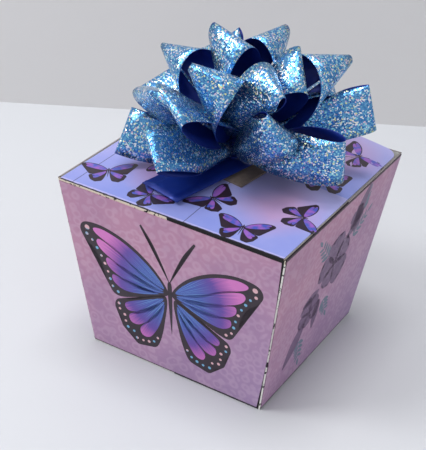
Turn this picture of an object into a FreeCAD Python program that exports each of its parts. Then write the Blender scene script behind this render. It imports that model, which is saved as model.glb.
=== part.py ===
"""Tapered square gift box of folded card with a lid hinged along its front edge and a star bow on the lid.

Millimetres. The origin is at the middle of the base, +Z up, and the hinged edge faces -Y.
"""
import FreeCAD
import Part
import math
import os

import Sketcher
from FreeCAD import Placement, Rotation, Vector

os.makedirs("parts", exist_ok=True)
doc = FreeCAD.newDocument("gift_box")

# Driving sizes
SIZES = {
    "top_side": (100, "outside of the box across its rim"),
    "base_side": (80, "outside of the box across its base"),
    "box_height": (79, "floor to rim"),
    "card": (0.5, "thickness of the folded card"),
    "paper": (0.3, "thickness of the printed facing with its glue"),
    "fold_margin": (0.4, "bare card between a facing and a fold"),
    "base_margin": (0.7, "bare card between a facing and the base fold"),
    "strip_left": (0.5, "bare card under the hinge, left end"),
    "strip_right": (1.3, "bare card under the hinge, right end"),
    "facing_bulge": (1.0, "how far the front facing's right edge bows out at its middle"),
    "tab_width": (12, "glue tab inside each corner"),
    "tab_margin": (4, "glue tab short of the base and of the rim"),
    "lid_gap": (0.5, "lid to side wall"),
    "hinge_gap": (0.2, "lid to the outside of the front wall, and down to its top edge"),
    "tuck_gap": (0.7, "tuck flap to back wall"),
    "arch": (4, "rise of the lid's free edge at its middle"),
    "lid_corner": (5, "round of the lid's free corners"),
    "tuck_depth": (14, "tuck flap, fold to tip"),
    "tuck_half": (38, "half of the tuck flap's width"),
    "tuck_corner": (6, "round of the tuck flap's corners"),
    "pad_side": (30, "square board under the bow"),
    "pad_thick": (0.8, "its thickness"),
    "pad_turn": (-9, "its turn on the lid, degrees"),
    "ribbon_width": (19, "width of the ribbon"),
    "ribbon_thick": (0.25, "thickness of the ribbon"),
    "stack_radius": (4, "pressed stack of ribbon layers in the middle of the bow"),
    "stack_height": (15, "height of that stack over its board"),
    "stack_gap": (0.2, "stack over the sloping board"),
    "root_low": (1.6, "root of a level loop over the board"),
    "root_rise": (11, "how much higher an upright loop has its root"),
    "root_width": (7, "width that each loop is gathered to at its root"),
    "gather_length": (17, "how far out of the root it starts to narrow"),
    "root_short": (2.5, "how far a loop's ends stop short of its root"),
    "loop_reach": (47, "root of a middling loop to its tip"),
    "strips": (20, "flat strips that each loop is rolled from"),
    "tail_length": (41, "free end of the ribbon, from the middle of the bow"),
    "tail_turn": (-104, "its direction on the lid, degrees"),
    "tail_lift": (1.2, "how high it leaves the stack over the board"),
    "staple_wide": (6, "staple through the stack, outside of its legs"),
    "staple_wire": (0.6, "its square wire"),
    "staple_rise": (8, "top of its crown over the board"),
}

sheet = doc.addObject("Spreadsheet::Sheet", "sizes")
for row, (alias, (number, meaning)) in enumerate(SIZES.items(), start=1):
    sheet.set(f"A{row}", alias)
    sheet.set(f"B{row}", str(number))
    sheet.set(f"C{row}", meaning)
    sheet.setAlias(f"B{row}", alias)

# Sizes that follow from them
FOLLOWING = {
    "lean": "atan((sizes.top_side - sizes.base_side) / 2 / sizes.box_height) / 1 deg",
    "slope": "(sizes.top_side - sizes.base_side) / 2 / sizes.box_height",
    "card_across": "sizes.card / cos(derived.lean)",
    "paper_across": "sizes.paper / cos(derived.lean)",
    "slant": "sizes.box_height / cos(derived.lean)",
    "rim_card": "sizes.top_side - 2 * derived.paper_across",
    "base_card": "sizes.base_side - 2 * derived.paper_across",
    "rim_inside": "derived.rim_card / 2 - derived.card_across",
    "lid_thick": "sizes.card + sizes.paper",
    "seat_depth": "derived.lid_thick + sizes.hinge_gap",
    "seat_inside": "derived.slope * derived.seat_depth - derived.rim_inside",
    "lid_half": "derived.rim_inside - derived.slope * derived.lid_thick - sizes.lid_gap",
    "lid_front": "-sizes.top_side / 2 + sizes.hinge_gap",
    "lid_back": "derived.rim_inside - derived.slope * derived.lid_thick - sizes.tuck_gap",
    "lid_length": "derived.lid_back - derived.lid_front",
    "arch_radius": "(derived.lid_half ^ 2 + sizes.arch ^ 2) / (2 * sizes.arch)",
    "bow_level": "sizes.box_height - sizes.arch * derived.lid_front / derived.lid_length",
    "bow_tilt": "atan(sizes.arch / derived.lid_length) / 1 deg",
}

derived = doc.addObject("App::VarSet", "derived")
for name, expression in FOLLOWING.items():
    derived.addProperty("App::PropertyFloat", name)
    derived.setExpression(name, expression)
doc.recompute()


def size(name):
    return float(sheet.get(name)) if name in SIZES else getattr(derived, name)


def value(expression):
    """The number that an expression of the sizes stands at now."""
    return float(derived.evalExpression(expression))


def new_body(name):
    body = doc.addObject("PartDesign::Body", name)
    body.Label = name
    return body


def outline(body, name, corners, arcs=None, plane="XY_Plane", offset=("0", "0", "0")):
    """A closed sketch through corners given as expressions; arcs gives a side a signed bulge and a radius."""
    arcs = arcs or {}
    sketch = body.newObject("Sketcher::SketchObject", name)
    support = next(item for item in body.Origin.OriginFeatures if item.Role == plane)
    sketch.AttachmentSupport = [(support, "")]
    sketch.MapMode = "FlatFace"
    for axis, expression in zip("xyz", offset):
        sketch.setExpression(f"AttachmentOffset.Base.{axis}", expression)
    points = [Vector(value(across), value(up), 0) for across, up in corners]
    count = len(points)
    ends = []
    for side, start in enumerate(points):
        end = points[(side + 1) % count]
        bulge = value(arcs[side][0]) if side in arcs else 0
        middle = (start + end) / 2 + (end - start).cross(Vector(0, 0, 1)).normalize() * bulge
        # a sketch's arcs turn anticlockwise, so one that bends inward runs from its end to its start
        backward = bulge < 0
        first, last = (end, start) if backward else (start, end)
        sketch.addGeometry(Part.Arc(first, middle, last) if bulge else Part.LineSegment(first, last))
        ends.append((2, 1) if backward else (1, 2))
    for side in range(count):
        after = (side + 1) % count
        sketch.addConstraint(Sketcher.Constraint("Coincident", side, ends[side][1], after, ends[after][0]))
    for side, (across, up) in enumerate(corners):
        for kind, expression in (("DistanceX", across), ("DistanceY", up)):
            constraint = Sketcher.Constraint(kind, -1, 1, side, ends[side][0], value(expression))
            number = sketch.addConstraint(constraint)
            sketch.setExpression(f"Constraints[{number}]", expression)
    for side, (_, radius) in arcs.items():
        number = sketch.addConstraint(Sketcher.Constraint("Radius", side, value(radius)))
        sketch.setExpression(f"Constraints[{number}]", radius)
    return sketch


def rectangle(body, name, half_across, half_along, height, middle=("0", "0")):
    """A level rectangle about a middle point, at a height."""
    corners = [(f"-({half_across})", f"-({half_along})"), (half_across, f"-({half_along})"),
               (half_across, half_along), (f"-({half_across})", half_along)]
    return outline(body, name, corners, offset=(middle[0], middle[1], height))


def loft(body, name, lower, upper, cut=False):
    kind = "PartDesign::SubtractiveLoft" if cut else "PartDesign::AdditiveLoft"
    feature = body.newObject(kind, name)
    feature.Profile = lower
    feature.Sections = [upper]
    feature.Ruled = True
    return feature


# The folded card: base, four leaning walls and the glue tabs inside the corners
def inside_at(height):
    """Half of the box's inside at a height, as an expression."""
    return f"derived.rim_inside - derived.slope * (sizes.box_height - ({height}))"


box_body = new_body("box_body")
loft(box_body, "walls",
     rectangle(box_body, "base_square", "derived.base_card / 2", "derived.base_card / 2", "0"),
     rectangle(box_body, "rim_square", "derived.rim_card / 2", "derived.rim_card / 2", "sizes.box_height"))
loft(box_body, "inside",
     rectangle(box_body, "floor_square", inside_at("sizes.card"), inside_at("sizes.card"), "sizes.card"),
     rectangle(box_body, "mouth_square", "derived.rim_inside", "derived.rim_inside", "sizes.box_height"),
     cut=True)
for corner, (to_right, to_back) in enumerate(((-1, -1), (1, -1), (1, 1), (-1, 1))):
    ends = []
    for end, height in (("low", "sizes.tab_margin"), ("high", "sizes.box_height - sizes.tab_margin")):
        reach = f"({inside_at(height)} + sizes.card / 2)"
        half_width = "(sizes.tab_width / 2 + sizes.card / 4)"
        middle = (f"{to_right} * ({reach} - {half_width})", f"{to_back} * ({reach} - sizes.card * 3 / 4)")
        ends.append(rectangle(box_body, f"tab_{corner}_{end}", half_width, "sizes.card * 3 / 4", height, middle))
    loft(box_body, f"glue_tab_{corner}", *ends)
hinge_seat = outline(
    box_body, "hinge_seat_outline",
    [("-derived.rim_inside", "-sizes.top_side"), ("derived.rim_inside", "-sizes.top_side"),
     ("derived.rim_inside", "derived.seat_inside"), ("-derived.rim_inside", "derived.seat_inside")],
    offset=("0", "0", "sizes.box_height"))
hinge_seat_cut = box_body.newObject("PartDesign::Pocket", "hinge_seat")
hinge_seat_cut.Profile = hinge_seat
hinge_seat_cut.setExpression("Length", "derived.seat_depth")


# The printed paper on each wall: a flat trapezoid laid on the leaning card
def half_width_at(up):
    """Half of the card wall at a distance up its slant, less the bare margin, as an expression."""
    grow = "(derived.rim_card - derived.base_card) / 2 / derived.slant"
    return f"derived.base_card / 2 + {grow} * ({up}) - sizes.fold_margin"


def facing(name, turn, top_left, top_right, bulge=None):
    body = new_body(name)
    low = "sizes.base_margin"
    left = f"derived.slant - ({top_left})"
    right = f"derived.slant - ({top_right})"
    inset = bulge or "0"
    corners = [(f"-({half_width_at(low)})", low), (f"{half_width_at(low)} - {inset}", low),
               (f"{half_width_at(right)} - {inset}", right), (f"-({half_width_at(left)})", left)]
    arcs = {}
    if bulge:
        chord = f"((({right}) - ({low})) / cos(derived.lean))"
        arcs[1] = (bulge, f"{chord} ^ 2 / 8 / {bulge} + {bulge} / 2")
    sheet_pad = body.newObject("PartDesign::Pad", name + "_sheet")
    sheet_pad.Profile = outline(body, name + "_outline", corners, arcs)
    sheet_pad.setExpression("Length", "sizes.paper")
    stand = Placement(Vector(0, -size("base_card") / 2, 0), Rotation(Vector(1, 0, 0), 90 + size("lean")))
    body.Placement = Placement(Vector(), Rotation(Vector(0, 0, 1), turn)) * stand
    return body


front_panel = facing("front_panel", 0, "sizes.strip_left + derived.lid_thick",
                     "sizes.strip_right + derived.lid_thick", "sizes.facing_bulge")
right_panel = facing("right_panel", 90, "sizes.fold_margin", "sizes.fold_margin")
back_panel = facing("back_panel", 180, "sizes.fold_margin", "sizes.fold_margin")
left_panel = facing("left_panel", 270, "sizes.fold_margin", "sizes.fold_margin")


# The lid: straight along the hinge, arched along its free edge, with a tuck flap behind the back wall's inside
def arched_sheet(body, name, below, thick):
    """A sheet between a straight front edge and an arched back edge, its top so far below the lid's."""
    half = "derived.lid_half"
    top = f"-{below}"
    under = f"-{below} - {thick}"
    front = outline(body, name + "_front", [(f"-{half}", under), (half, under), (half, top), (f"-{half}", top)],
                    plane="XZ_Plane", offset=("0", "sizes.box_height", "-derived.lid_front"))
    back = outline(body, name + "_back", [(f"-{half}", under), (half, under), (half, top), (f"-{half}", top)],
                   arcs={0: ("-sizes.arch", "derived.arch_radius"), 2: ("sizes.arch", "derived.arch_radius")},
                   plane="XZ_Plane", offset=("0", "sizes.box_height", "-derived.lid_back"))
    loft(body, name + "_slab", front, back)
    radius = "sizes.lid_corner"
    back_edge = "derived.lid_back"
    for side, sign in (("left", "-1"), ("right", "1")):
        corners = [(f"{sign} * {half}", f"{back_edge} - {radius}"),
                   (f"{sign} * ({half} + 1)", f"{back_edge} - {radius}"),
                   (f"{sign} * ({half} + 1)", f"{back_edge} + 1"),
                   (f"{sign} * ({half} - {radius})", f"{back_edge} + 1"),
                   (f"{sign} * ({half} - {radius})", back_edge)]
        bulge = f"-{sign} * {radius} * (1 - sqrt(1 / 2))"
        corner = body.newObject("PartDesign::Pocket", f"{name}_{side}_corner")
        corner.Profile = outline(body, f"{name}_{side}_off_cut", corners, {4: (bulge, radius)},
                                 offset=("0", "0", "sizes.box_height + sizes.arch"))
        corner.setExpression("Length", "2 * sizes.arch")


lid = new_body("lid")
arched_sheet(lid, "lid_card", "sizes.paper", "sizes.card")
fold_level = "-derived.lid_thick + sizes.card / 2"
fold_drop = "(derived.arch_radius - sizes.arch - sqrt(derived.arch_radius ^ 2 - sizes.tuck_half ^ 2))"
quarter = "sizes.tuck_corner * (1 - sqrt(1 / 2))"
tuck_outline = outline(
    lid, "tuck_outline",
    [("-sizes.tuck_half", "sizes.tuck_corner - sizes.tuck_depth"),
     ("sizes.tuck_corner - sizes.tuck_half", "-sizes.tuck_depth"),
     ("sizes.tuck_half - sizes.tuck_corner", "-sizes.tuck_depth"),
     ("sizes.tuck_half", "sizes.tuck_corner - sizes.tuck_depth"),
     ("sizes.tuck_half", f"{fold_level} - {fold_drop}"),
     ("-sizes.tuck_half", f"{fold_level} - {fold_drop}")],
    arcs={0: (quarter, "sizes.tuck_corner"), 2: (quarter, "sizes.tuck_corner"),
          4: (f"sizes.arch + {fold_drop}", "derived.arch_radius")},
    offset=("0", "derived.lid_back", "sizes.box_height"))
tuck_outline.AttachmentOffset = Placement(tuck_outline.AttachmentOffset.Base, Rotation(Vector(1, 0, 0), 90))
tuck_outline.setExpression("AttachmentOffset.Rotation.Angle", "90 - derived.lean")
tuck_flap = lid.newObject("PartDesign::Pad", "tuck_flap")
tuck_flap.Profile = tuck_outline
tuck_flap.setExpression("Length", "sizes.card")

lid_panel = new_body("lid_panel")
arched_sheet(lid_panel, "lid_paper", "0", "sizes.paper")

# The board that the bow is stapled and glued to
bow_seat = Placement(Vector(0, 0, size("bow_level")), Rotation(Vector(1, 0, 0), size("bow_tilt")))
bow_pad = new_body("bow_pad")
pad_board = bow_pad.newObject("PartDesign::Pad", "pad_board")
pad_board.Profile = rectangle(bow_pad, "pad_square", "sizes.pad_side / 2", "sizes.pad_side / 2", "0")
pad_board.setExpression("Length", "sizes.pad_thick")
for name, side in (("left", "-1"), ("right", "1")):
    hole = bow_pad.newObject("PartDesign::Pocket", f"{name}_hole")
    leg = "sizes.staple_wire / 2"
    hole.Profile = rectangle(bow_pad, f"{name}_hole_outline", leg, leg, "sizes.pad_thick",
                             (f"{side} * (sizes.staple_wide - sizes.staple_wire) / 2", "0"))
    hole.setExpression("Length", "sizes.pad_thick")
bow_pad.Placement = bow_seat * Placement(Vector(), Rotation(Vector(0, 0, 1), size("pad_turn")))

# The staple through the pressed stack and the board
staple = new_body("bow_staple")
staple_half = "sizes.staple_wide / 2"
staple_leg = f"{staple_half} - sizes.staple_wire"
crown_under = "sizes.staple_rise - sizes.staple_wire"
staple_bend = staple.newObject("PartDesign::Pad", "staple_wire")
staple_bend.Profile = outline(
    staple, "staple_outline",
    [(f"-({staple_half})", "-sizes.pad_thick"), (f"-({staple_leg})", "-sizes.pad_thick"),
     (f"-({staple_leg})", crown_under), (staple_leg, crown_under), (staple_leg, "-sizes.pad_thick"),
     (staple_half, "-sizes.pad_thick"), (staple_half, "sizes.staple_rise"),
     (f"-({staple_half})", "sizes.staple_rise")],
    plane="XZ_Plane", offset=("0", "0", "-sizes.staple_wire / 2"))
staple_bend.setExpression("Length", "sizes.staple_wire")
staple.Placement = bow_pad.Placement * Placement(Vector(0, 0, size("pad_thick")), Rotation())

doc.recompute()

# The bow: one ribbon rolled into flattened cones around a pressed stack.
# Each loop's direction, rise and roll about its own line in degrees, then its reach as a share of loop_reach,
# the ribbon's offset from its tip as a share of the ribbon's width, and how flat it is pressed.
LOOPS = [
    (-137, -4, -21, 1.07, 0.34, 0.38),
    (114, 2, 7, 1.08, 0.27, 0.7),
    (-90, 5, -48, 1.1, 0.48, 0.28),
    (-173, 13, -60, 1.07, 0.36, 0.3),
    (91, 15, -48, 1.02, 0.21, 0.35),
    (-9, 30, 170, 1.19, 0.54, 0.51),
    (60, 30, -80, 1.0, 0.21, 0.4),
    (94, 32, 92, 0.96, 0.26, 0.35),
    (26, 33, -180, 1.2, 0.13, 0.29),
    (128, 35, 90, 1.0, 0.21, 0.4),
    (-108, 37, -99, 1.08, 0.36, 0.35),
    (37, 39, -44, 1.2, 0.18, 0.98),
    (180, 39, 26, 1.03, 0.1, 0.98),
    (-50, 40, 136, 1.01, 0.21, 0.61),
    (-37, 40, -7, 1.11, 0.14, 0.69),
    (-114, 41, 110, 1.17, 0.27, 0.28),
    (120, 47, 129, 0.98, 0.11, 0.5),
    (-99, 51, 90, 1.12, 0.12, 0.83),
    (77, 55, -9, 1.03, 0.25, 0.76),
    (31, 66, -115, 1.01, 0.37, 0.54),
    (-176, 69, 20, 0.99, 0.24, 0.66),
]


def flattened_cone(half_angle, flatness, steps):
    """Unit lines of a cone with an oval section, from its seam round to its seam, and the angle run so far."""
    lines = []
    run = [0]
    for step in range(steps + 1):
        around = math.pi * (2 * step / steps - 1)
        line = Vector(1, math.tan(half_angle) * math.cos(around),
                      math.tan(half_angle * flatness) * math.sin(around)).normalize()
        if lines:
            run.append(run[-1] + line.getAngle(lines[-1]))
        lines.append(line)
    return lines, run


def opening_angle(unrolled, flatness):
    """Half the angle of the flattened cone that unrolls to a given angle."""
    low, high = 0.02, 1.3
    for _ in range(30):
        middle = (low + high) / 2
        if flattened_cone(middle, flatness, 72)[1][-1] < unrolled:
            low = middle
        else:
            high = middle
    return middle


def strip_places(lines, run, strips):
    """Which lines part the cone into flat strips: mostly so that each turns by as much as the next."""
    normals = [first.cross(second) for first, second in zip(lines, lines[1:])]
    turned = [0]
    for before, after in zip(normals, normals[1:]):
        turned.append(turned[-1] + before.getAngle(after))
    places = [1]
    for place in range(2, len(turned) - 1):
        share = 0.8 * turned[place] / turned[-1] + 0.2 * run[place] / run[-1]
        if share >= len(places) / strips:
            places.append(place)
    return places + [len(lines) - 2]


def ribbon_loop(direction, rise, roll, reach_share, tip_share, flatness):
    """A ribbon rolled in flat strips round a cone whose apex is the loop's tip, with both its ends in the middle."""
    width = size("ribbon_width")
    reach = size("loop_reach") * reach_share
    tip = width * tip_share
    turn, up, twist = (math.radians(angle) for angle in (direction, rise, roll))
    outward = Vector(math.cos(turn) * math.cos(up), math.sin(turn) * math.cos(up), math.sin(up))
    above = Vector(-math.cos(turn) * math.sin(up), -math.sin(turn) * math.sin(up), math.cos(up))
    aside = Vector(-math.sin(turn), math.cos(turn), 0)
    crest = above * math.cos(twist) + aside * math.sin(twist)
    apex = Vector(0, 0, size("root_low") + size("root_rise") * max(0, math.sin(up))) + outward * reach
    start = math.asin((tip + width / 2) / reach)
    opening = opening_angle(math.pi - 2 * start, flatness)
    axis = crest * math.sin(opening) - outward * math.cos(opening)
    toward_crest = crest * math.cos(opening) + outward * math.sin(opening)
    sideways = axis.cross(toward_crest)
    lines, run = flattened_cone(opening, flatness, 240)
    lines = [axis * line.x + toward_crest * line.y + sideways * line.z for line in lines]
    places = strip_places(lines, run, int(size("strips")))
    outsets = []
    for before, place, after in zip([None] + places, places, places[1:] + [None]):
        normals = [lines[other].cross(lines[place]).normalize() * side
                   for other, side in ((before, -1), (after, 1)) if other is not None]
        if len(normals) == 1:
            normals *= 2
        outsets.append((normals[0] + normals[1]) * (size("ribbon_thick") / (1 + normals[0].dot(normals[1]))))
    root_along = math.sqrt(reach ** 2 - (tip + width / 2) ** 2)
    gathered = tip + (width + size("root_width")) / 2
    fall = (gathered - tip - width) / size("gather_length")
    near, far = [], []
    for place in places:
        slant = start + (math.pi - 2 * start) * run[place] / run[-1]
        across = math.sin(slant)
        along = abs(math.cos(slant))
        limits = [across / (tip + width), (across - fall * along) / (gathered - fall * root_along),
                  along / (root_along - size("root_short"))]
        near.append(apex + lines[place] * (tip / across))
        far.append(apex + lines[place] * sum(limit ** 12 for limit in limits) ** (-1 / 12))
    near_out = [point + outset for point, outset in zip(near, outsets)]
    far_out = [point + outset for point, outset in zip(far, outsets)]
    polygons = [(near[0], far[0], far_out[0], near_out[0]), (near[-1], far[-1], far_out[-1], near_out[-1])]
    for this in range(len(places) - 1):
        after = this + 1
        polygons.append((near[this], near[after], far[after], far[this]))
        polygons.append((near_out[this], near_out[after], far_out[after], far_out[this]))
        for inner, outer in ((near, near_out), (far, far_out)):
            polygons.append((inner[this], inner[after], outer[this]))
            polygons.append((inner[after], outer[after], outer[this]))
    shell = Part.makeShell([Part.Face(Part.makePolygon(corners + corners[:1])) for corners in polygons])
    shell.sewShape()
    solid = Part.Solid(shell)
    if solid.Volume < 0:
        solid.reverse()
    return solid


bow_middle = Placement(Vector(0, 0, size("bow_level") + size("pad_thick")), Rotation())
stack = Part.makeCylinder(size("stack_radius"), size("stack_height") - size("stack_gap"),
                          Vector(0, 0, size("stack_gap")))
tail = Part.makeBox(size("tail_length"), size("ribbon_width"), size("ribbon_thick"),
                    Vector(0, -size("ribbon_width") / 2, 0))
tail_fall = math.degrees(math.atan((size("tail_lift") + size("pad_thick")) / size("tail_length")))
tail.Placement = Placement(Vector(0, 0, size("tail_lift")),
                           Rotation(Vector(0, 0, 1), size("tail_turn")) * Rotation(Vector(0, 1, 0), tail_fall))
ribbon_shape = stack.multiFuse([tail] + [ribbon_loop(*loop) for loop in LOOPS])
ribbon_shape.Placement = bow_middle
bow_ribbon = doc.addObject("Part::Feature", "bow_ribbon")
bow_ribbon.Label = "bow_ribbon"
bow_ribbon.Shape = ribbon_shape.cut(staple.Shape)
bow_ribbon.Placement = Placement()

doc.recompute()

nodes = [box_body, front_panel, right_panel, back_panel, left_panel, lid, lid_panel, bow_pad, staple, bow_ribbon]
failed = [item.Label for item in doc.Objects if {"Invalid", "Error"} & set(item.State)]
failed += [node.Label for node in nodes if node.Shape.isNull() or not node.Shape.isValid()]
if failed:
    raise RuntimeError("not built: " + ", ".join(failed))
for node in nodes:
    node.Shape.exportStep(f"parts/{node.Label}.step")
    print(f"{node.Label}: {len(node.Shape.Solids)} solid, {node.Shape.Volume:.1f} mm3")
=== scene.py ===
"""Looks of the tapered paper gift box: printed papers, inked edges, a hinged lid and a glitter star bow."""

import math

import bmesh
import bpy
from mathutils import Matrix, Vector


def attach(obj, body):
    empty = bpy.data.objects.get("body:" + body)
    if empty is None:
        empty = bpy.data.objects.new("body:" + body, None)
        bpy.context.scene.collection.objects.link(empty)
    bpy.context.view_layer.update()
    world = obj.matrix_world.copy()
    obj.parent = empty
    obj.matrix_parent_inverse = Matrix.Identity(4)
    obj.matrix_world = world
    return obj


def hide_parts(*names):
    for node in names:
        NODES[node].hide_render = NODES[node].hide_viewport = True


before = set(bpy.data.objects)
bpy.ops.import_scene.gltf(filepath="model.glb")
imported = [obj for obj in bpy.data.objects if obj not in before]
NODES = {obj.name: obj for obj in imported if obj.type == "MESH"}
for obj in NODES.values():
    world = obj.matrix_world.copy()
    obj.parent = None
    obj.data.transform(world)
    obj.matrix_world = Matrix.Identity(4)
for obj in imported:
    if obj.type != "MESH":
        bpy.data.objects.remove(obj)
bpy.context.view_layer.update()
MM = 0.001


# Floor, wall and light: a white table against a pale grey wall, lit by a broad window behind and to the
# right of the camera and by the sky of the room.
class Wire:
    """An output of a shader node, on which Python's arithmetic makes the next nodes."""

    def __init__(self, tree, socket):
        self.tree = tree
        self.socket = socket

    def math(self, operation, *items, clamped=False):
        node = self.tree.nodes.new("ShaderNodeMath")
        node.operation = operation
        node.use_clamp = clamped
        for place, item in zip(node.inputs, items):
            plug(self.tree, item, place)
        return Wire(self.tree, node.outputs[0])

    def __add__(self, other):
        return self.math("ADD", self, other)

    def __sub__(self, other):
        return self.math("SUBTRACT", self, other)

    def __rsub__(self, other):
        return self.math("SUBTRACT", other, self)

    def __mul__(self, other):
        return self.math("MULTIPLY", self, other)

    def __truediv__(self, other):
        return self.math("DIVIDE", self, other)

    def __abs__(self):
        return self.math("ABSOLUTE", self)

    def __pow__(self, other):
        return self.math("POWER", self, other)

    __radd__ = __add__
    __rmul__ = __mul__

    def least(self, other):
        return self.math("MINIMUM", self, other)

    def most(self, other):
        return self.math("MAXIMUM", self, other)

    def part(self):
        """What is left over whole numbers."""
        return self.math("FRACT", self)

    def sine(self):
        return self.math("SINE", self)

    def angle_over(self, other):
        """The angle whose tangent is this over another."""
        return self.math("ARCTAN2", self, other)

    def above(self, level, soft=0.0):
        """1 where this is over a level and 0 under it, over a soft width."""
        if not soft:
            return self.math("GREATER_THAN", self, level)
        return self.math("MULTIPLY_ADD", self - level, 1 / soft, 0.5, clamped=True)

    def below(self, level, soft=0.0):
        return 1 - self.above(level, soft)


def plug(tree, item, socket):
    """Links a wire to a socket, or sets the socket to a plain value."""
    if isinstance(item, Wire):
        tree.links.new(item.socket, socket)
    else:
        socket.default_value = item


class Finish:
    """A material with one Principled shader, and one way to add every other node."""

    def __init__(self, name, color=(0.8, 0.8, 0.8, 1), **constants):
        self.material = bpy.data.materials.new(name)
        self.material.use_nodes = True
        self.tree = self.material.node_tree
        self.shader = self.tree.nodes["Principled BSDF"]
        self.shader.inputs["Base Color"].default_value = color
        for socket, value in constants.items():
            self.shader.inputs[socket.replace("_", " ")].default_value = value

    def node(self, kind, settings=None, sockets=None, output=0):
        """Adds a node and gives one of its outputs, or all of them where output is None."""
        node = self.tree.nodes.new("ShaderNode" + kind)
        for name, value in (settings or {}).items():
            setattr(node, name, value)
        for place, item in (sockets or {}).items():
            plug(self.tree, item, node.inputs[place])
        if output is None:
            return [Wire(self.tree, socket) for socket in node.outputs]
        return Wire(self.tree, node.outputs[output])

    def where(self):
        """Object coordinates."""
        return self.node("TexCoord", output="Object")

    def place(self):
        """Object coordinates, whole and as x, y and z."""
        whole = self.where()
        return whole, *self.node("SeparateXYZ", None, {0: whole}, output=None)

    def noise(self, where, scale, detail=3.0, rough=0.5):
        return self.node("TexNoise", None,
                         {"Vector": where, "Scale": scale, "Detail": detail, "Roughness": rough})

    def mix(self, share, first, second):
        """A colour between two colours."""
        sockets = {0: share, 6: first, 7: second}
        return self.node("Mix", {"data_type": "RGBA"}, sockets, output=2)

    def feed(self, **sockets):
        for name, item in sockets.items():
            plug(self.tree, item, self.shader.inputs[name.replace("_", " ")])

    def bump(self, height, strength, distance):
        self.feed(Normal=self.node("Bump", None,
                                   {"Height": height, "Strength": strength, "Distance": distance}))


def shade(name, red, green, blue):
    """A colour given as a screen shows it, in the shader's linear values; its name is not used."""
    values = [part / 255 for part in (red, green, blue)]
    return (*(part / 12.92 if part <= 0.04045 else ((part + 0.055) / 1.055) ** 2.4 for part in values), 1)


def new_piece(name, mesh, material):
    piece = bpy.data.objects.new(name, mesh)
    bpy.context.scene.collection.objects.link(piece)
    mesh.materials.append(material)
    return piece


def quad(name, corners, material):
    mesh = bpy.data.meshes.new(name)
    mesh.from_pydata(corners, [], [range(len(corners))])
    return new_piece(name, mesh, material)


FLOOR = 3.0
WALL_AWAY = 0.62
VIEW_TURN = math.radians(29.7)
CAMERA_PLACE = Vector((0.198568, -0.363337, 0.301675))

floor_finish = Finish("table_white", shade("table", 204, 206, 210), Roughness=0.75)
where = floor_finish.where()
floor_finish.bump(floor_finish.noise(where, 700), 0.05, 0.0002)
floor = quad("table", [(-FLOOR, -FLOOR, 0), (FLOOR, -FLOOR, 0), (FLOOR, FLOOR, 0), (-FLOOR, FLOOR, 0)],
             floor_finish.material)
wall_finish = Finish("wall_grey", shade("wall", 214, 213, 213), Roughness=0.9)
away = Vector((-math.sin(VIEW_TURN), math.cos(VIEW_TURN), 0))
along = Vector((math.cos(VIEW_TURN), math.sin(VIEW_TURN), 0))
foot = Vector((CAMERA_PLACE.x, CAMERA_PLACE.y, 0)) + away * WALL_AWAY
wall = quad("wall", [foot + along * FLOOR, foot - along * FLOOR, foot - along * FLOOR
                     + Vector((0, 0, FLOOR)),
                     foot + along * FLOOR + Vector((0, 0, FLOOR))], wall_finish.material)

world = bpy.data.worlds.new("room")
bpy.context.scene.world = world
world.use_nodes = True
world.node_tree.nodes["Background"].inputs["Color"].default_value = shade("room", 232, 234, 238)
world.node_tree.nodes["Background"].inputs["Strength"].default_value = 0.75


def lamp(name, location, target, width, height, power, color=(1, 1, 1)):
    light = bpy.data.lights.new(name, "AREA")
    light.shape = "RECTANGLE"
    light.size = width
    light.size_y = height
    light.energy = power
    light.color = color
    lamp_object = bpy.data.objects.new(name, light)
    bpy.context.scene.collection.objects.link(lamp_object)
    lamp_object.location = location
    lamp_object.rotation_euler = (Vector(target) - Vector(location)).to_track_quat("-Z", "Y").to_euler()


lamp("window", (-0.5, -0.5, 0.9), (0, 0, 0.08), 0.35, 0.35, 5.0)
lamp("ceiling", (-0.05, 0.0, 1.2), (0, 0, 0.08), 0.45, 0.45, 6.0)

camera = bpy.data.objects.new("camera", bpy.data.cameras.new("camera"))
bpy.context.scene.collection.objects.link(camera)
camera.data.sensor_width = 36
camera.data.lens = 94.9
camera.location = CAMERA_PLACE
camera.rotation_euler = (math.radians(58.69), math.radians(-2.86), math.radians(31.44))
bpy.context.scene.camera = camera
bpy.context.scene.view_settings.view_transform = "Standard"


# The folded card: white board, bare inside, with black ink rubbed along its upright folds and a cream strip
# with broken ink under the hinge, painted shadow where the card shows in the slit by the front paper's right
# edge, and painted shade on its top rim for the gap under the lid. Card and lid are the solids themselves.
SLOPE = 10 / 79
BASE_HALF = 39.7 * MM
RIM = 79 * MM
HINGE_STRIP = -48.5 * MM


def dress(name, finish):
    """Gives a solid its finish."""
    NODES[name].data.materials.clear()
    NODES[name].data.materials.append(finish.material)


card_finish = Finish("white_card", Roughness=0.85)
where, x, y, z = card_finish.place()
half = BASE_HALF + z * SLOPE
from_wall = half - abs(x).most(abs(y))
from_fold = half - abs(x).least(abs(y))
fibres = card_finish.noise(where, 900, 4)
broken = card_finish.noise(where, 500, 3)
ink = from_wall.below(0.3 * MM) * from_fold.below(0.5 * MM) * z.above(0.4 * MM) * broken.above(0.6, 0.06)
# Painted shadow: the front wall's card right of the middle, clear of the fold, is painted near-black; it shows
# only in the slit where the front paper's right edge bows in, as the shade in that slit.
slit_shadow = from_wall.below(0.3 * MM) * from_fold.above(0.55 * MM, 0.1 * MM) * x.above(0) * y.below(0)
dashes = card_finish.noise(where, 900, 2)
strip = z.above(RIM - 2.4 * MM) * y.below(HINGE_STRIP)
ink = ink.most(slit_shadow).most(strip * dashes.above(0.62, 0.04))
bare = card_finish.mix(fibres, shade("card", 240, 238, 232), shade("card shadow", 226, 224, 218))
bare = card_finish.mix(strip, bare, shade("cream card", 226, 214, 196))
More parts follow.
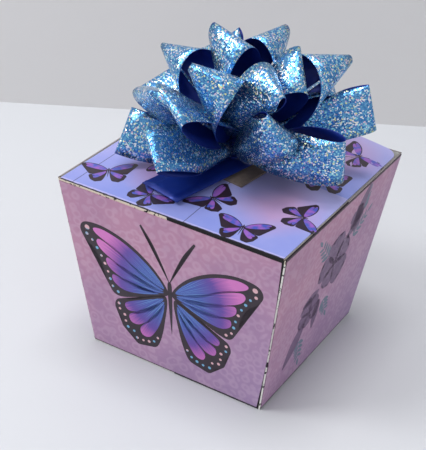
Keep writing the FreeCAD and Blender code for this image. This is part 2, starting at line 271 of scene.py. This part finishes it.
# Painted shade: the top 0.15 mm of the card is darkened towards a dark mauve brown, standing for the shadowed
# gap between the wall tops and the lid.
bare = card_finish.mix(z.above(RIM - 0.15 * MM) * 0.8, bare, shade("painted rim shade", 92, 74, 78))
# The near-black "ink" colour paints real rubbed ink on the folds and the hinge strip, and the painted shadow
# in the front slit.
card_finish.feed(Base_Color=card_finish.mix(ink, bare, shade("ink", 16, 14, 18)))
card_finish.bump(fibres, 0.15, 0.0001)
for name in ("box_body", "lid"):
    dress(name, card_finish)


# The printed papers on the walls: mottled mauve paper, rosier at the top left and bluer at the bottom, with
# an inked line round the edge of each sheet. They are the solids themselves.
LEAN = math.atan(SLOPE)
FACE_HALF = 40 * MM


def paper_place(finish, turn):
    """How far across and up a wall's paper a point is, in metres, from its object coordinates."""
    where, x, y, z = finish.place()
    across = x * math.cos(turn) + y * math.sin(turn)
    return where, across, z / math.cos(LEAN)


def mauve_paper(name, turn, bow):
    """One wall's paper; bow is how far its right edge bends out at mid-height."""
    finish = Finish(name, Roughness=0.55, Specular_IOR_Level=0.35)
    where, across, up = paper_place(finish, turn)
    cloud = finish.noise(where, 45, 4, 0.6)
    fine = finish.noise(where, 260, 3, 0.6)
    cells = finish.node("TexVoronoi", {"feature": "SMOOTH_F1"},
                        {"Vector": where, "Scale": 230, "Smoothness": 0.3})
    rosettes = (cells * 13 + fine * 5).sine()
    toward_blue = (across * 5 - up * 9 + 0.62 + cloud * 0.4 - 0.2).above(0.5, 1.0)
    ground = finish.mix(toward_blue, shade("rose", 190, 141, 168), shade("lavender", 160, 141, 184))
    ground = finish.mix(rosettes.above(0.1, 1.4) * 0.24, ground, shade("pale mauve", 218, 192, 212))
    ground = finish.mix(cloud.above(0.52, 0.25) * 0.25, ground, shade("deep mauve", 140, 104, 146))
    half = FACE_HALF + up * math.sin(LEAN)
    edge = (across + half).least(half - across - bow * ((up - RIM / 2) / (RIM / 2)) ** 2).least(up - 0.4
                                                                                                * MM)
    edge = edge.least(RIM - up) + finish.noise(where, 700, 2) * (0.5 * MM)
    finish.feed(Base_Color=finish.mix(edge.below(0.95 * MM, 0.25 * MM) * 0.9, ground,
                                      shade("edge ink", 30, 22, 34)))
    finish.bump(fine, 0.08, 0.0001)
    return finish


WALLS = {"front": (0, 1.0 * MM), "right": (90, 0), "back": (180, 0), "left": (270, 0)}
for side, (turn, bow) in WALLS.items():
    dress(side + "_panel", mauve_paper(side + "_paper", math.radians(turn), bow))


# The print on the front: a spread butterfly, drawn as thin inlays in dark ink, in cells that run from blue
# at the body to pink, and in pale dots. Outlines are in millimetres on the paper, for its right half, and
# mirrored.
def smooth_outline(points, per=6):
    """A closed smooth line through a few points."""
    count = len(points)
    line = []
    for here in range(count):
        before, start, end, after = (Vector(points[(here + step) % count]) for step in (-1, 0, 1, 2))
        for part in range(per):
            t = part / per
            line.append(0.5 * (2 * start + (end - before) * t
                               + (2 * before - 5 * start + 4 * end - after) * t * t
                               + (3 * start - before - 3 * end + after) * t ** 3))
    return line


def wall_matrix(turn):
    """From millimetres across, up and out of a wall's card to the frame."""
    stand = Matrix.Translation((0, -BASE_HALF, 0)) @ Matrix.Rotation(math.pi / 2 + LEAN, 4, "X")
    return Matrix.Rotation(math.radians(turn), 4, "Z") @ stand @ Matrix.Scale(MM, 4)


def inlays(name, outlines, low, high, placing, material, body, slot, smooth=True):
    """Thin flat shapes with closed sides, as one piece on a paper."""
    bm = bmesh.new()
    for outline in outlines:
        line = smooth_outline(outline) if smooth else [Vector(point) for point in outline]
        area = sum(a.x * b.y - b.x * a.y for a, b in zip(line, line[1:] + line[:1]))
        if area < 0:
            line.reverse()
        top = [bm.verts.new((point.x, point.y, high)) for point in line]
        under = [bm.verts.new((point.x, point.y, low)) for point in line]
        faces = [bm.faces.new(top), bm.faces.new(under[::-1])]
        for a, b in zip(range(len(line)), [*range(1, len(line)), 0]):
            bm.faces.new((top[a], under[a], under[b], top[b]))
        bmesh.ops.triangulate(bm, faces=faces, ngon_method="EAR_CLIP")
    bm.transform(placing)
    mesh = bpy.data.meshes.new(name)
    bm.to_mesh(mesh)
    bm.free()
    piece = new_piece(name, mesh, material)
    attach(piece, body)
    return piece


def mirrored(outlines):
    return outlines + [[(-x, y) for x, y in outline] for outline in outlines]


def spot(x, y, radius, count=12):
    return [(x + radius * math.cos(2 * math.pi * part / count),
             y + radius * math.sin(2 * math.pi * part / count)) for part in range(count)]


PAPER = 0.3
DARK_INK = (PAPER - 0.02, PAPER + 0.02)
LIGHT_INK = (PAPER, PAPER + 0.035)
FOREWING = [(1.4, 44.5), (8, 53), (18, 60), (29, 63.5), (38, 63), (41, 59.5), (39.5, 55), (34.5, 50),
            (31.5, 44), (30, 37), (27, 31.5), (22, 31.5), (12, 36), (2, 40.5)]
HINDWING = [(1.8, 40), (10, 36.2), (19, 31.5), (25.5, 29), (27, 24.5), (24.5, 20.5), (24, 15.5),
            (20, 12.5), (17, 8.8), (12, 10), (8, 11), (5.5, 16), (3.2, 26)]
FORE_CELLS = [
    [(2.6, 43.8), (9, 52), (19, 58.6), (29, 61.8), (34.5, 61.2), (33, 58.5), (24, 54.5), (13, 47.5)],
    [(3, 42.8), (13, 46.3), (23, 52.8), (31.5, 56.6), (33.5, 54.5), (30, 50.5), (20, 45.8), (10, 42.6)],
    [(3, 41.9), (11, 41.8), (21, 45), (28.5, 48.8), (29.3, 45.5), (25, 42), (15, 39.8), (8, 40.2)],
    [(5, 40.4), (12, 38.8), (20, 39.3), (26.5, 41.2), (26.8, 37.8), (22, 35.2), (14, 36.6)],
]
HIND_CELLS = [
    [(3.2, 38.6), (11, 34.8), (18.5, 30.8), (22, 28), (20.5, 25.2), (15, 27), (8, 32)],
    [(3, 37.4), (8, 31), (15, 25.8), (20, 23.4), (19.6, 19.6), (15.5, 19.8), (9.5, 25.5), (5, 31.5)],
    [(2.9, 36), (5.4, 30), (10, 23.8), (15, 18.6), (14.3, 14.8), (10.6, 15.4), (6.8, 21.5), (4.2, 28.5)],
]
DOTS = [(37.6, 60.4, 1.15), (38, 57.2, 0.75), (35.6, 55.0, 0.6), (33.6, 51.8, 0.7), (31.8, 48.6, 0.6),
        (30.4, 45.2, 0.7), (29.2, 41.6, 0.6), (28.4, 38.2, 0.7), (27.4, 34.9, 0.6), (25, 32.9, 0.7),
        (25, 26.9, 0.7), (24.8, 24.2, 0.6), (22.6, 21.9, 0.7), (22.3, 18.7, 0.6), (21.4, 15.9, 0.7),
        (18.5, 14.9, 0.6), (17.2, 11.8, 0.7), (14.2, 11.8, 0.6), (11.4, 12.4, 0.7), (8.9, 13.6, 0.6),
        (7.0, 16.3, 0.6)]
BODY = [(0, 48.6), (0.9, 47.2), (1.0, 42), (0.7, 33), (0.3, 25), (0, 21.5), (-0.3, 25), (-0.7, 33),
        (-1.0, 42), (-0.9, 47.2)]
FEELER = [(0.25, 48), (2.9, 55), (6.9, 63.5), (10.9, 69.3), (12.3, 70.7), (11.7, 71.5), (10.6, 70.0),
          (6.6, 63.8), (2.65, 55.1), (0, 48.1)]

ink_finish = Finish("print_ink", Roughness=0.45)
where = ink_finish.where()
ink_finish.feed(Base_Color=ink_finish.mix(ink_finish.noise(where, 300), shade("ink plum", 34, 22, 38),
                                          shade("ink brown", 50, 34, 46)))

wing_finish = Finish("wing_colours", Roughness=0.45)
where, across, up = paper_place(wing_finish, 0)
away_up = up - 42 * MM
reach = (across * across + away_up * away_up) ** 0.5
angle = away_up.angle_over(abs(across))
rays = wing_finish.node("TexNoise", {"noise_dimensions": "1D"},
                        {"W": angle * 3, "Scale": 12.0, "Detail": 2.0})
far_blend = (reach * 1000 + rays * 8).above(25, 14)
colour = wing_finish.mix(far_blend, shade("wing blue", 64, 84, 172), shade("wing violet", 112, 62, 158))
colour = wing_finish.mix((reach * 1000 + rays * 6).above(31, 9), colour, shade("wing pink", 214, 122, 196))
glint = rays.above(0.58, 0.14) * (reach * 1000).below(17, 10)
colour = wing_finish.mix(glint * 0.75, colour, shade("wing light blue", 120, 176, 226))
wing_finish.feed(Base_Color=colour)

dot_finish = Finish("wing_dots", Roughness=0.45)
where = dot_finish.where()
dot_finish.feed(Base_Color=dot_finish.mix(dot_finish.noise(where, 160, 1).above(0.5, 0.05),
                                          shade("dot blue", 118, 176, 214),
                                          shade("dot pink", 224, 178, 186)))

front = wall_matrix(0)
inlays("butterfly_outline", mirrored([FOREWING, HINDWING, FEELER]) + [BODY], *DARK_INK, front,
       ink_finish.material, "box", "marbled_paper")
inlays("butterfly_cells", mirrored(FORE_CELLS + HIND_CELLS), *LIGHT_INK, front, wing_finish.material,
       "box", "marbled_paper")
inlays("butterfly_dots", mirrored([spot(*dot) for dot in DOTS]), *LIGHT_INK, front,
       dot_finish.material, "box", "marbled_paper", smooth=False)


# The print on the other walls: plum peonies in silhouette on a slanting spray of teal leaves, printed
# before the paper is glued on. It is drawn as thin inlays, alike on the three walls.
def turned(shape, x, y, turn, scale=1.0):
    """A shape about its own foot, scaled, turned and set down at a point."""
    c, s = scale * math.cos(math.radians(turn)), scale * math.sin(math.radians(turn))
    return [(x + a * c - b * s, y + a * s + b * c) for a, b in shape]


PETAL = [(0, 0), (3.4, 3.0), (5.4, 7.0), (4.4, 10.2), (2.4, 9.4), (0.6, 11.4), (-1.8, 9.8),
         (-4.0, 10.4), (-5.0, 7.2), (-3.2, 3.0)]
LEAF = [(0, 0), (0.9, 1.6), (1.0, 3.6), (0, 6), (-1.0, 3.6), (-0.9, 1.6)]
FLOWERS = [(1, 50, 1.3, 12), (-13, 33, 0.85, 40), (14, 65, 0.6, -10)]
BLADES = [(-15, 30, 148, 3.6), (-6, 36, -178, 2.6), (12, 62, -28, 3.2), (8, 58, -52, 2.6),
          (-8, 42, 100, 2.2)]
SPRAYS = [(-8, 58, 42, 13), (15, 56, -58, 12), (18, 66, -20, 8), (-16, 20, -162, 12), (0, 32, -150, 10)]

blossom_finish = Finish("blossom_print", Roughness=0.5)
where = blossom_finish.where()
cloud = blossom_finish.noise(where, 120, 4, 0.65)
blossom_finish.feed(Base_Color=blossom_finish.mix(cloud.above(0.5, 0.4), shade("plum", 104, 76, 114),
                                                  shade("plum grey", 128, 100, 134)))
leaf_finish = Finish("leaf_print", Roughness=0.5)
where = leaf_finish.where()
leaf_finish.feed(Base_Color=leaf_finish.mix(leaf_finish.noise(where, 200, 3),
                                            shade("teal grey", 84, 108, 128),
                                            shade("pale teal", 118, 132, 152)))
leaves = []
for x, y, turn, length in SPRAYS:
    way = Vector((-math.sin(math.radians(turn)), math.cos(math.radians(turn))))
    for step in range(4):
        foot = Vector((x, y)) + way * (length * step / 4)
        for side in (-42, 42):
            leaves.append(turned(LEAF, foot.x, foot.y, turn + side, 0.95 - 0.1 * step))
    tip = Vector((x, y)) + way * length
    leaves.append(turned(LEAF, tip.x, tip.y, turn, 0.8))
petals = [turned(PETAL, x, y, turn + 72 * step, scale * (1 - 0.12 * (step % 3)))
          for x, y, scale, turn in FLOWERS for step in range(5)]
petals += [turned(LEAF, x, y, turn, scale) for x, y, turn, scale in BLADES]
for side in ("right", "back", "left"):
    placing = wall_matrix(WALLS[side][0])
    inlays(side + "_leaves", leaves, *DARK_INK, placing, leaf_finish.material, "box",
           "marbled_paper")
    inlays(side + "_blossoms", petals, *LIGHT_INK, placing, blossom_finish.material, "box",
           "marbled_paper")


# The lid's paper: tiles of periwinkle paper with a rosy middle, each with small butterflies, seams showing
# as thin dark lines. It is the solid itself, with thin inlays over it.
TILE = 50 * MM
SEAM = 7 * MM
INKED_EDGE = -49.1 * MM

lid_finish = Finish("lid_paper", Roughness=0.5, Specular_IOR_Level=0.35)
where, x, y, z = lid_finish.place()
in_tile = ((x - SEAM) / TILE).part()
in_row = ((y - HINGE_STRIP) / TILE).part()
rosy = (1 - abs(in_tile - 0.5) * 1.9) * (1 - abs(in_row - 0.55) * 1.7)
cloud = lid_finish.noise(where, 60, 3)
colour = lid_finish.mix((cloud * 0.5 + in_row * 0.6).above(0.5, 0.7), shade("periwinkle", 126, 138, 206),
                        shade("lavender", 166, 164, 214))
colour = lid_finish.mix((rosy + cloud * 0.2).above(0.6, 0.5) * 0.6, colour, shade("rosy", 196, 146, 180))
seam = abs(in_tile - 0.5).above(0.497)
colour = lid_finish.mix(seam * 0.8, colour, shade("seam", 40, 34, 62))
edge_noise = lid_finish.noise(where, 520, 2)
colour = lid_finish.mix((y + edge_noise * 0.6 * MM).below(INKED_EDGE, 0.1 * MM), colour,
                        shade("edge ink", 26, 20, 28))
lid_finish.feed(Base_Color=colour)
lid_finish.bump(lid_finish.noise(where, 300), 0.05, 0.0001)
dress("lid_panel", lid_finish)

LID_FRONT = -49.8
LID_LENGTH = 98.3
ARCH_RADIUS = 290.6
FLYERS = [(-36, -36, 30, 0.27), (-14, -42, -25, 0.24), (9, -30, 70, 0.26), (27, -42, 10, 0.27),
          (40, -22, -65, 0.25), (36, 6, 25, 0.27), (37, 32, -30, 0.26), (12, 37, 55, 0.25),
          (-14, 34, -20, 0.27), (-37, 30, 65, 0.25), (-37, 4, 15, 0.26), (-20, -16, 100, 0.24),
          (12, 12, 150, 0.24), (-12, 10, 200, 0.24)]


def lid_level(x, y):
    """Height of the lid's top, straight at the hinge and arched at its free edge."""
    rise = math.sqrt(ARCH_RADIUS ** 2 - x ** 2) - ARCH_RADIUS + 4
    return 79 + rise * (y - LID_FRONT) / LID_LENGTH


def lid_print(name, outlines, over, material, smooth=True):
    piece = inlays(name, outlines, 0, over, Matrix.Scale(MM, 4), material, "lid", "lid_paper", smooth)
    for vertex in piece.data.vertices:
        x, y, z = vertex.co / MM
        vertex.co.z = (lid_level(x, y) + (z if z else -0.05)) * MM
    return piece


def flying(outlines):
    return [turned([(a, b - 35) for a, b in outline], x, y, turn, scale)
            for x, y, turn, scale in FLYERS for outline in outlines]


small_finish = Finish("small_wings", Roughness=0.45)
where = small_finish.where()
colour = small_finish.mix(small_finish.noise(where, 330, 2).above(0.5, 0.2),
                          shade("small blue", 70, 84, 176),
                          shade("small violet", 146, 92, 178))
small_finish.feed(Base_Color=colour)
lid_print("flyer_outlines", flying(mirrored([FOREWING, HINDWING]) + [BODY]), 0.05, ink_finish.material)
lid_print("flyer_wings", flying(mirrored(FORE_CELLS[:2] + HIND_CELLS[:2])), 0.08, small_finish.material)


# The board under the bow, of grey pulp, glued to the lid, and its staple of bright steel wire, pressed
# through the bow and the board. They are the solids themselves.
board_finish = Finish("grey_board", Roughness=0.9)
where = board_finish.where()
board_finish.feed(Base_Color=board_finish.mix(board_finish.noise(where, 600, 4),
                                              shade("pulp", 132, 118, 108),
                                              shade("pulp dark", 96, 84, 80)))
board_finish.bump(board_finish.noise(where, 800), 0.3, 0.0002)
steel_finish = Finish("staple_steel", shade("steel", 190, 192, 196), Metallic=1.0)
where = steel_finish.where()
steel_finish.feed(Roughness=0.25 + steel_finish.noise(where, 900) * 0.2)
dress("bow_pad", board_finish)
dress("bow_staple", steel_finish)


# The bow: one plastic ribbon, holographic glitter outside and plain satin blue inside, wound into loops that
# are pressed together in the middle. Each loop is a strip rolled on a flattened cone, as in the solid, with
# finer steps. The ribbon's free end lies on the lid with its satin side up.
LOOPS = [
    (-137, -4, -21, 1.07, 0.34, 0.38),
    (114, 2, 7, 1.08, 0.27, 0.7),
    (-90, 5, -48, 1.1, 0.48, 0.28),
    (-173, 13, -60, 1.07, 0.36, 0.3),
    (91, 15, -48, 1.02, 0.21, 0.35),
    (-9, 30, 170, 1.19, 0.54, 0.51),
    (60, 30, -80, 1.0, 0.21, 0.4),
    (94, 32, 92, 0.96, 0.26, 0.35),
    (26, 33, -180, 1.2, 0.13, 0.29),
    (128, 35, 90, 1.0, 0.21, 0.4),
    (-108, 37, -99, 1.08, 0.36, 0.35),
    (37, 39, -44, 1.2, 0.18, 0.98),
    (180, 39, 26, 1.03, 0.1, 0.98),
    (-50, 40, 136, 1.01, 0.21, 0.61),
    (-37, 40, -7, 1.11, 0.14, 0.69),
    (-114, 41, 110, 1.17, 0.27, 0.28),
    (120, 47, 129, 0.98, 0.11, 0.5),
    (-99, 51, 90, 1.12, 0.12, 0.83),
    (77, 55, -9, 1.03, 0.25, 0.76),
    (31, 66, -115, 1.01, 0.37, 0.54),
    (-176, 69, 20, 0.99, 0.24, 0.66),
]
LOOP_REACH = 47
RIBBON_WIDTH = 19
RIBBON_THICK = 0.25
ROOT_LOW = 1.6
ROOT_RISE = 11
ROOT_WIDTH = 7
ROOT_SHORT = 2.5
GATHER = 17
BOW_LEVEL = 81.83


def flattened_cone(half_angle, flatness, steps):
    """Unit lines of a cone with an oval section, from its seam round to its seam, and the angle run so far."""
    lines = []
    run = [0.0]
    for step in range(steps + 1):
        around = math.pi * (2 * step / steps - 1)
        line = Vector((1, math.tan(half_angle) * math.cos(around),
                       math.tan(half_angle * flatness) * math.sin(around))).normalized()
        if lines:
            run.append(run[-1] + line.angle(lines[-1]))
        lines.append(line)
    return lines, run


def opening_angle(unrolled, flatness):
    """Half the angle of the flattened cone that unrolls to a given angle."""
    low, high = 0.02, 1.3
    for _ in range(30):
        middle = (low + high) / 2
        if flattened_cone(middle, flatness, 72)[1][-1] < unrolled:
            low = middle
        else:
            high = middle
    return middle


def add_strip(bm, under, over):
    """Closes two rows of rows of points into a strip: material 0 on its outside, 1 on its inside and edges."""
    under, over = ([[bm.verts.new(point * MM) for point in row] for row in rows] for rows in (under, over))
    for rows, flip in ((over, True), (under, False)):
        for this, after in zip(rows, rows[1:]):
            for column in range(len(this) - 1):
                corners = (this[column], this[column + 1], after[column + 1], after[column])
                face = bm.faces.new(corners[::-1] if flip else corners)
                face.material_index = 0 if flip else 1
                face.smooth = True
    rims = [[row[0] for row in rows] + rows[-1][1:] + [row[-1] for row in rows[-2::-1]] + rows[0][-2:0:-1]
            for rows in (under, over)]
    for place in range(len(rims[0])):
        before = place - 1
        face = bm.faces.new((rims[0][before], rims[0][place], rims[1][place], rims[1][before]))
        face.material_index = 1


def root_height(up):
    return BOW_LEVEL + ROOT_LOW + ROOT_RISE * max(0, math.sin(up))


def add_loop(bm, direction, rise, roll, reach_share, tip_share, flatness, steps=96, columns=5):
    turn, up, twist = (math.radians(angle) for angle in (direction, rise, roll))
    reach = LOOP_REACH * reach_share
    tip = RIBBON_WIDTH * tip_share
    outward = Vector((math.cos(turn) * math.cos(up), math.sin(turn) * math.cos(up), math.sin(up)))
    above = Vector((-math.cos(turn) * math.sin(up), -math.sin(turn) * math.sin(up), math.cos(up)))
    aside = Vector((-math.sin(turn), math.cos(turn), 0))
    crest = above * math.cos(twist) + aside * math.sin(twist)
    apex = Vector((0, 0, root_height(up))) + outward * reach
    start = math.asin((tip + RIBBON_WIDTH / 2) / reach)
    opening = opening_angle(math.pi - 2 * start, flatness)
    axis = crest * math.sin(opening) - outward * math.cos(opening)
    toward_crest = crest * math.cos(opening) + outward * math.sin(opening)
    sideways = axis.cross(toward_crest)
    lines, run = flattened_cone(opening, flatness, steps)
    lines = [axis * line.x + toward_crest * line.y + sideways * line.z for line in lines]
    root_along = math.sqrt(reach ** 2 - (tip + RIBBON_WIDTH / 2) ** 2)
    gathered = tip + (RIBBON_WIDTH + ROOT_WIDTH) / 2
    fall = (gathered - tip - RIBBON_WIDTH) / GATHER
    under, over = [], []
    for place in range(1, steps):
        outset = lines[place + 1].cross(lines[place - 1]).normalized() * RIBBON_THICK
        slant = start + (math.pi - 2 * start) * run[place] / run[-1]
        across = math.sin(slant)
        along = abs(math.cos(slant))
        limits = [across / (tip + RIBBON_WIDTH), (across - fall * along) / (gathered - fall * root_along),
                  along / (root_along - ROOT_SHORT)]
        near = tip / across
        far = sum(limit ** 12 for limit in limits) ** (-1 / 12)
        distances = [near + (far - near) * column / (columns - 1) for column in range(columns)]
        row = [apex + lines[place] * distance for distance in distances]
        under.append(row)
        over.append([point + outset for point in row])
    add_strip(bm, under, over)


def add_plate(bm, placing, length, width):
    """A flat run of ribbon, its satin side up, from where it is placed out along its own x."""
    glittered, plain = ([[placing @ Vector((length * part / 12, width * (side / 4 - 0.5), level))
                          for side in range(5)] for part in range(13)] for level in (0, RIBBON_THICK))
    add_strip(bm, plain, glittered)


glitter = Finish("glitter_foil", Metallic=0.85, Roughness=0.26, Specular_IOR_Level=0.6)
where = glitter.where()
flake = glitter.node("TexVoronoi", {"feature": "F1"}, {"Vector": where, "Scale": 1900.0}, output="Color")
first, second, third = glitter.node("SeparateColor", None, {0: flake}, output=None)
base = glitter.mix(second, shade("foil blue", 44, 112, 182), shade("foil light blue", 112, 176, 220))
base = glitter.mix(first.above(0.78), base, shade("flake cyan", 156, 222, 238))
base = glitter.mix(first.above(0.88), base, shade("flake white", 250, 250, 255))
base = glitter.mix(third.above(0.96), base, shade("flake yellow", 236, 238, 180))
base = glitter.mix(third.below(0.03), base, shade("flake pink", 232, 196, 220))
tilt = glitter.node("VectorMath", {"operation": "SUBTRACT"}, {0: flake, 1: (0.5, 0.5, 0.5)})
tilt = glitter.node("VectorMath", {"operation": "SCALE"}, {0: tilt, "Scale": 0.4})
facing_out = glitter.node("NewGeometry", output="Normal")
leaning = glitter.node("VectorMath", {"operation": "ADD"}, {0: facing_out, 1: tilt})
leaning = glitter.node("VectorMath", {"operation": "NORMALIZE"}, {0: leaning})
glitter.feed(Base_Color=base, Normal=leaning)

satin = Finish("satin_blue", Roughness=0.38, Metallic=0.35, Specular_IOR_Level=0.5)
where = satin.where()
satin.feed(Base_Color=satin.mix(satin.noise(where, 250), shade("royal blue", 22, 52, 150),
                                shade("navy", 16, 36, 118)))

TAIL_LENGTH = 41
TAIL_LIFT = 1.2
TAIL_FALL = math.atan(2.0 / TAIL_LENGTH)
TAIL_TURN = math.radians(-104)
STACK_LAYERS = 19
STACK_FOOT = 0.3
STACK_STEP = 0.75
STACK_TURN = 67

bm = bmesh.new()
for loop in LOOPS:
    add_loop(bm, *loop)
tail_place = (Matrix.Translation((0, 0, BOW_LEVEL + TAIL_LIFT)) @ Matrix.Rotation(TAIL_TURN, 4, "Z")
              @ Matrix.Rotation(TAIL_FALL, 4, "Y"))
add_plate(bm, tail_place, TAIL_LENGTH, RIBBON_WIDTH)
for layer in range(STACK_LAYERS):
    level = BOW_LEVEL + STACK_FOOT + STACK_STEP * layer
    placing = Matrix.Translation((0, 0, level)) @ Matrix.Rotation(math.radians(STACK_TURN * layer), 4, "Z")
    add_plate(bm, placing @ Matrix.Translation((-ROOT_WIDTH / 2, 0, 0)), ROOT_WIDTH, ROOT_WIDTH * 0.8)
bmesh.ops.recalc_face_normals(bm, faces=bm.faces)
mesh = bpy.data.meshes.new("ribbon")
bm.to_mesh(mesh)
bm.free()
ribbon = new_piece("ribbon", mesh, glitter.material)
mesh.materials.append(satin.material)
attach(ribbon, "lid")
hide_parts("bow_ribbon")
